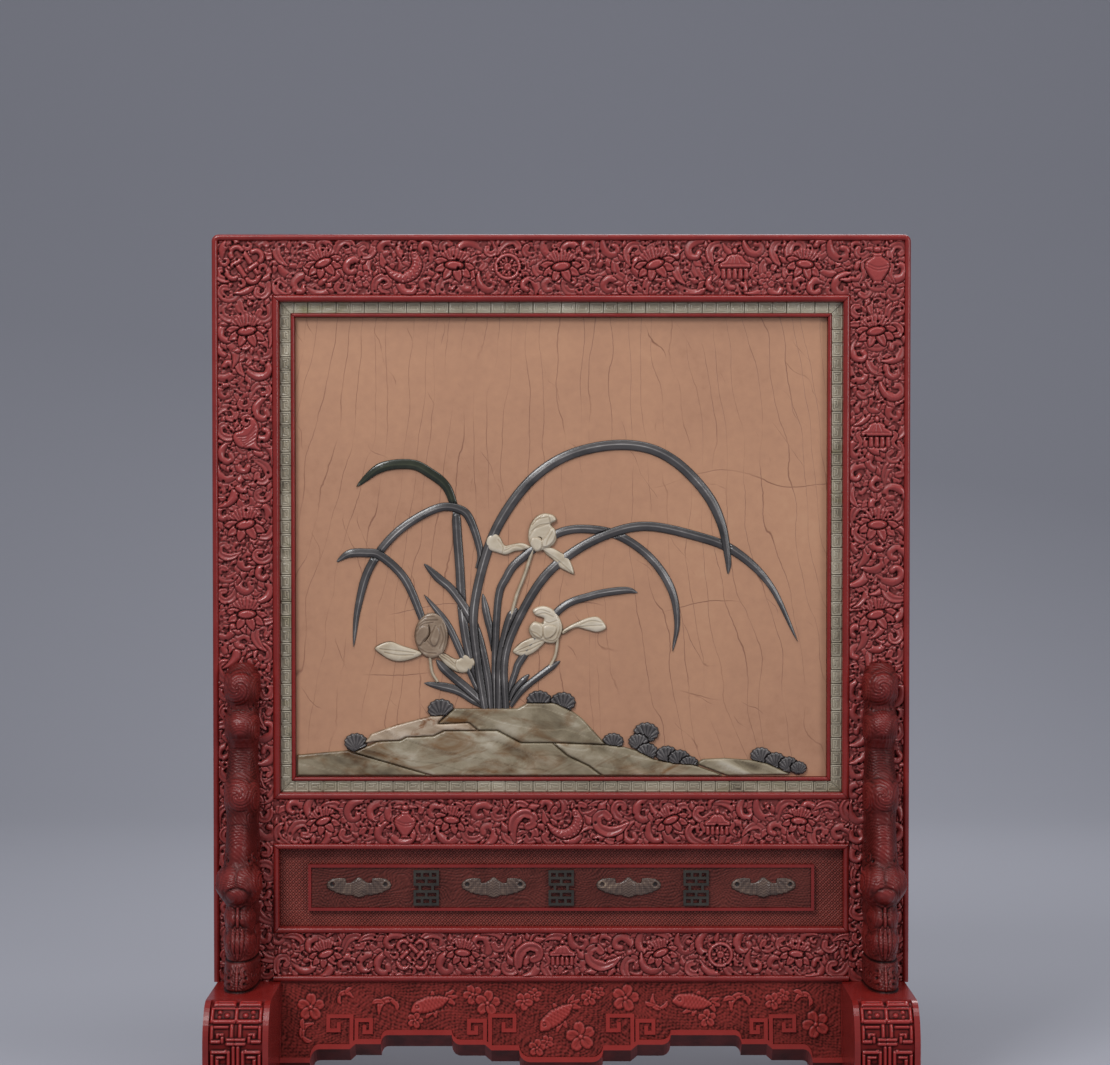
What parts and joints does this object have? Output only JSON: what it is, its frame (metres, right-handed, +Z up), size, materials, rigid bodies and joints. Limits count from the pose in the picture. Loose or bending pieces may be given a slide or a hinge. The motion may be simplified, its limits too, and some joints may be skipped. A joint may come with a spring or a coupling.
{
  "type": "table screen",
  "caption": "Free-standing carved lacquer table screen: framed panel with a stone-inlaid orchid picture, carved spandrels, cusped aprons and block feet.",
  "frame": {"origin": "middle of the footprint on the table top", "axes": "+X to the viewer's right along the screen, +Y from the picture to the back, +Z up"},
  "size_m": [0.628, 0.244, 0.777],
  "materials": {
    "red_lacquer": "satin",
    "dark_lacquer": "satin",
    "ochre_lacquer": "satin",
    "core_wood": "matte",
    "bamboo": "matte",
    "celadon_stone": "polished",
    "dark_green_stone": "polished",
    "pale_stone": "polished",
    "russet_stone": "polished",
    "grey_green_stone": "polished"
  },
  "bodies": {
    "root": {"left_foot": "red_lacquer", "right_foot": "red_lacquer", "left_post": "red_lacquer", "right_post": "red_lacquer", "top_rail": "red_lacquer", "middle_rail": "red_lacquer", "lower_rail": "red_lacquer", "front_apron": "dark_lacquer", "back_apron": "dark_lacquer", "front_left_spandrel": "red_lacquer", "front_right_spandrel": "red_lacquer", "back_left_spandrel": "red_lacquer", "back_right_spandrel": "red_lacquer", "spandrel_dowels": "bamboo", "waist_panel": "dark_lacquer", "waist_moulding": "red_lacquer", "waist_plaque": "red_lacquer", "bat_1": "celadon_stone", "bat_2": "celadon_stone", "bat_3": "celadon_stone", "bat_4": "celadon_stone", "fret_plaques": "dark_green_stone", "picture_board": "core_wood", "picture_ground": "ochre_lacquer", "back_panel": "dark_lacquer", "sight_moulding": "red_lacquer", "border_top": "celadon_stone", "border_bottom": "celadon_stone", "border_left": "celadon_stone", "border_right": "celadon_stone", "panel_fillet": "red_lacquer", "leaf_1": "dark_green_stone", "leaf_2": "dark_green_stone", "leaf_3": "dark_green_stone", "leaf_4": "dark_green_stone", "leaf_5": "dark_green_stone", "leaf_6": "dark_green_stone", "leaf_7": "dark_green_stone", "leaf_8": "dark_green_stone", "leaf_9": "dark_green_stone", "leaf_10": "dark_green_stone", "leaf_11": "dark_green_stone", "leaf_12": "dark_green_stone", "leaf_13": "dark_green_stone", "leaf_14": "dark_green_stone", "leaf_15": "dark_green_stone", "leaf_16": "dark_green_stone", "upper_flower": "pale_stone", "lower_flower": "pale_stone", "brown_flower": "russet_stone", "brown_petals": "pale_stone", "rock_1": "grey_green_stone", "rock_2": "grey_green_stone", "rock_3": "grey_green_stone", "rock_4": "pale_stone", "rock_5": "grey_green_stone", "rock_6": "grey_green_stone", "moss_tufts": "dark_green_stone"}
  },
  "joints": []
}
